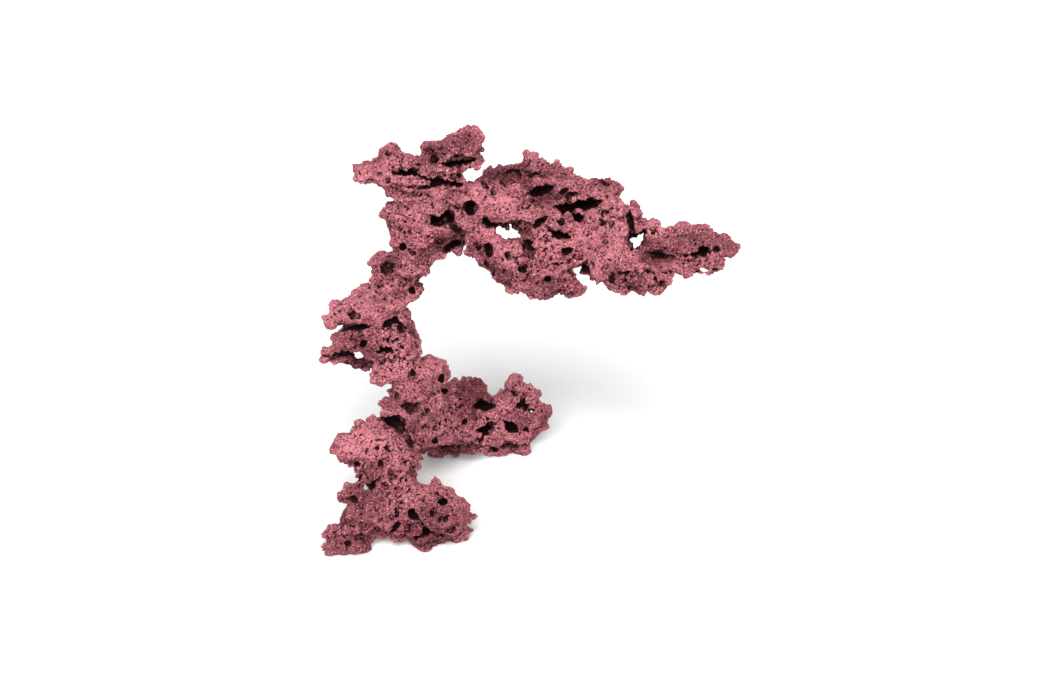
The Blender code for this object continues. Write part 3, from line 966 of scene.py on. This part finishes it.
def box_body(name, middle, half_sizes, turn):
    place = (
        Matrix.Translation(Vector(middle) * MM + CENTRING)
        @ Matrix.Rotation(math.radians(turn[2]), 4, "Z")
        @ Matrix.Rotation(math.radians(turn[1]), 4, "Y")
        @ Matrix.Rotation(math.radians(turn[0]), 4, "X")
        @ Matrix.Diagonal([half * 2 * MM for half in half_sizes] + [1])
    )
    bm = bmesh.new()
    bmesh.ops.create_cube(bm, size=1, matrix=place)
    return object_from(bm, name)


def fork_body(name, boxes):
    """The body that holds a limb, fused from its boxes."""
    body = box_body(name + "_fork", *boxes[0])
    for box in boxes[1:]:
        further = box_body(name + "_further_fork", *box)
        add_cut(body, further, "UNION")
        settle(body)
        bpy.data.objects.remove(further)
    return body


def part_limb(name, stone, stone_points, inside, outside, material):
    """Makes the piece of one limb: the stone inside its own fork body and outside the earlier ones."""
    limb = bpy.data.objects.new("stone_" + name, stone.data.copy())
    bpy.context.scene.collection.objects.link(limb)
    if inside is not None:
        add_cut(limb, inside, "INTERSECT")
    for earlier in outside:
        add_cut(limb, earlier, "DIFFERENCE")
    settle(limb)
    keep_largest_body(limb)
    match_cut_rims(limb, stone, stone_points)
    limb.data.materials.clear()
    limb.data.materials.append(material)
    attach(limb, "root")
    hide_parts(name)


def part_at_forks(stone, material):
    stone_points = points_tree(stone.data)
    outside = []
    for name, boxes in FORKS.items():
        inside = fork_body(name, boxes)
        part_limb(name, stone, stone_points, inside, outside, material)
        outside.append(inside)
    part_limb("column", stone, stone_points, None, outside, material)
    for body in outside:
        bpy.data.objects.remove(body)


def node(tree, kind, **settings):
    made = tree.nodes.new(kind)
    for key, value in settings.items():
        setattr(made, key, value)
    return made


def noise_value(tree, coordinates, scale, detail, roughness=0.6):
    made = node(tree, "ShaderNodeTexNoise")
    made.inputs["Scale"].default_value = scale
    made.inputs["Detail"].default_value = detail
    made.inputs["Roughness"].default_value = roughness
    tree.links.new(coordinates, made.inputs["Vector"])
    return made.outputs["Fac"]


def stretched(tree, value, low, high, out_low=0.0, out_high=1.0):
    made = node(tree, "ShaderNodeMapRange")
    made.inputs["From Min"].default_value = low
    made.inputs["From Max"].default_value = high
    made.inputs["To Min"].default_value = out_low
    made.inputs["To Max"].default_value = out_high
    tree.links.new(value, made.inputs["Value"])
    return made.outputs["Result"]


def share_of(tree, value, low, high, most):
    """From 0 where the value is at low to most where it is at high."""
    return stretched(tree, value, low, high, 0, most)


def colour_input(made, name):
    return [socket for socket in made.inputs if socket.name == name and socket.type == "RGBA"][0]


def stored(tree, name):
    made = node(tree, "ShaderNodeAttribute", attribute_name=name)
    return made.outputs["Fac"]


def mixed_colour(tree, share, first, second):
    made = node(tree, "ShaderNodeMix", data_type="RGBA")
    factor = [socket for socket in made.inputs if socket.name == "Factor" and socket.type == "VALUE"][0]
    tree.links.new(share, factor)
    for name, colour in (("A", first), ("B", second)):
        socket = colour_input(made, name)
        if isinstance(colour, tuple):
            socket.default_value = colour
        else:
            tree.links.new(colour, socket)
    return [socket for socket in made.outputs if socket.type == "RGBA"][0]


def sandy_colour(tree, place, blotches):
    """The rosy stone with its patches, blotches, pale crests and dark specks, and paler where the pale
    patches lie, partly as painted light.
    """
    patches = stretched(tree, noise_value(tree, place, PATCH_FINENESS, detail=3), low=0.38, high=0.62)
    specks_noise = noise_value(tree, place, SPECK_FINENESS, detail=3, roughness=0.8)
    specks = stretched(tree, specks_noise, low=0.38, high=0.60)
    # Paler where the patches are pale: partly the stone's own tone, partly painted light on faces turned up
    # to the light
    paler = share_of(tree, stored(tree, "tone_shade_and_light"), 0.5, 0.0, most=0.9)
    crests = share_of(tree, stored(tree, "sunk"), 0.42, 0.1, most=0.6)
    base = mixed_colour(tree, patches, MID_MAUVE, PALE_MAUVE)
    base = mixed_colour(tree, share_of(tree, blotches, 0, 1, most=0.55), base, MID_MAUVE)
    base = mixed_colour(tree, paler, base, PALE_MAUVE)
    base = mixed_colour(tree, crests, base, PALE_MAUVE)
    base = mixed_colour(tree, share_of(tree, specks, 1, 0, most=0.8), base, DEEP_MAUVE)
    return mixed_colour(tree, share_of(tree, specks, 0.6, 1, most=0.5), base, PALE_MAUVE)


def colour_with_tone_shade_and_light(tree, base):
    """The stone's colour made paler or darker by its patches: partly its own tone, partly painted light and
    painted shade.
    """
    paler = share_of(tree, stored(tree, "tone_shade_and_light"), 0.5, 0.0, most=0.35)
    darker = share_of(tree, stored(tree, "tone_shade_and_light"), 0.5, 1.0, most=0.85)
    base = mixed_colour(tree, paler, base, PALE_MAUVE)
    return mixed_colour(tree, darker, base, DEEP_MAUVE)


def pitted_colour(tree, place, base):
    """The stone's colour with pale grains, and with painted shade: near-black in its pinpricks, pores and
    hollows, where shade falls.
    """
    sparkles = stretched(tree, noise_value(tree, place, SPARKLE_FINENESS, detail=1), low=0.64, high=0.70)
    pinpricks = stretched(tree, noise_value(tree, place, PINPRICK_FINENESS, detail=2), low=0.60, high=0.67)
    pores = stretched(tree, stored(tree, "sunk"), low=0.52, high=0.82)
    hollows = stretched(tree, stored(tree, "sheltered"), low=0.38, high=0.76)
    base = mixed_colour(tree, share_of(tree, sparkles, 0, 1, most=0.6), base, SPARKLE)
    # Painted shade: near-black pinpricks for shaded tiny pores, then the sunk pores and the closed-in
    # hollows
    base = mixed_colour(tree, share_of(tree, pinpricks, 0, 1, most=0.9), base, PAINTED_SHADE_DARK)
    base = mixed_colour(tree, pores, base, PAINTED_SHADE_DARK)
    return mixed_colour(tree, hollows, base, PAINTED_SHADE_DARK)


def add_sand(tree, place, shader):
    bump = node(tree, "ShaderNodeBump")
    bump.inputs["Strength"].default_value = SAND_STRENGTH
    bump.inputs["Distance"].default_value = SAND_HEIGHT * MM
    sand = noise_value(tree, place, SAND_FINENESS, detail=3, roughness=0.7)
    tree.links.new(sand, bump.inputs["Height"])
    tree.links.new(bump.outputs["Normal"], shader.inputs["Normal"])


def stone_material():
    material = bpy.data.materials.new("reef_stone_surface")
    material.use_nodes = True
    tree = material.node_tree
    shader = tree.nodes["Principled BSDF"]
    place = node(tree, "ShaderNodeTexCoord").outputs["Object"]
    blotches = stretched(tree, noise_value(tree, place, BLOTCH_FINENESS, detail=3), low=0.40, high=0.60)
    base = sandy_colour(tree, place, blotches)
    base = colour_with_tone_shade_and_light(tree, base)
    base = pitted_colour(tree, place, base)
    tree.links.new(base, shader.inputs["Base Color"])
    rough = stretched(tree, blotches, 0, 1, *STONE_ROUGHNESS)
    tree.links.new(rough, shader.inputs["Roughness"])
    shader.inputs["Specular IOR Level"].default_value = STONE_SHEEN
    add_sand(tree, place, shader)
    return material


def floor_material():
    material = bpy.data.materials.new("pale_floor")
    material.use_nodes = True
    shader = material.node_tree.nodes["Principled BSDF"]
    shader.inputs["Base Color"].default_value = FLOOR_GREY
    shader.inputs["Roughness"].default_value = FLOOR_ROUGHNESS
    shader.inputs["Specular IOR Level"].default_value = 0
    return material


def lay_floor():
    bm = bmesh.new()
    bmesh.ops.create_grid(bm, x_segments=1, y_segments=1, size=FLOOR_REACH)
    floor = object_from(bm, "floor")
    floor.data.materials.append(floor_material())


def light_the_scene():
    world = bpy.data.worlds.new("studio")
    world.use_nodes = True
    background = world.node_tree.nodes["Background"]
    background.inputs["Color"].default_value = (1, 1, 1, 1)
    background.inputs["Strength"].default_value = SKY_STRENGTH
    bpy.context.scene.world = world
    for name, (heading, strength, spread) in LIGHTS.items():
        light = bpy.data.objects.new(name, bpy.data.lights.new(name, "SUN"))
        light.data.energy = strength
        light.data.angle = math.radians(spread)
        light.rotation_euler = Vector(heading).to_track_quat("-Z", "Y").to_euler()
        bpy.context.scene.collection.objects.link(light)
    bpy.context.scene.view_settings.view_transform = "Standard"


def main():
    noise.seed_set(NOISE_SEED)
    place_camera()
    lay_floor()
    light_the_scene()
    stone = closed_stone()
    cutter = hollow_cutter(stone)
    add_cut(stone, cutter, "DIFFERENCE")
    add_voxels(stone, SKIN_VOXEL)
    add_smoothing(stone, SKIN_SMOOTHING)
    settle(stone)
    bpy.data.objects.remove(cutter)
    keep_largest_body(stone)
    raise_surface(stone, fine_relief)
    store_colour_values(stone)
    part_at_forks(stone, stone_material())
    bpy.data.objects.remove(stone)


main()
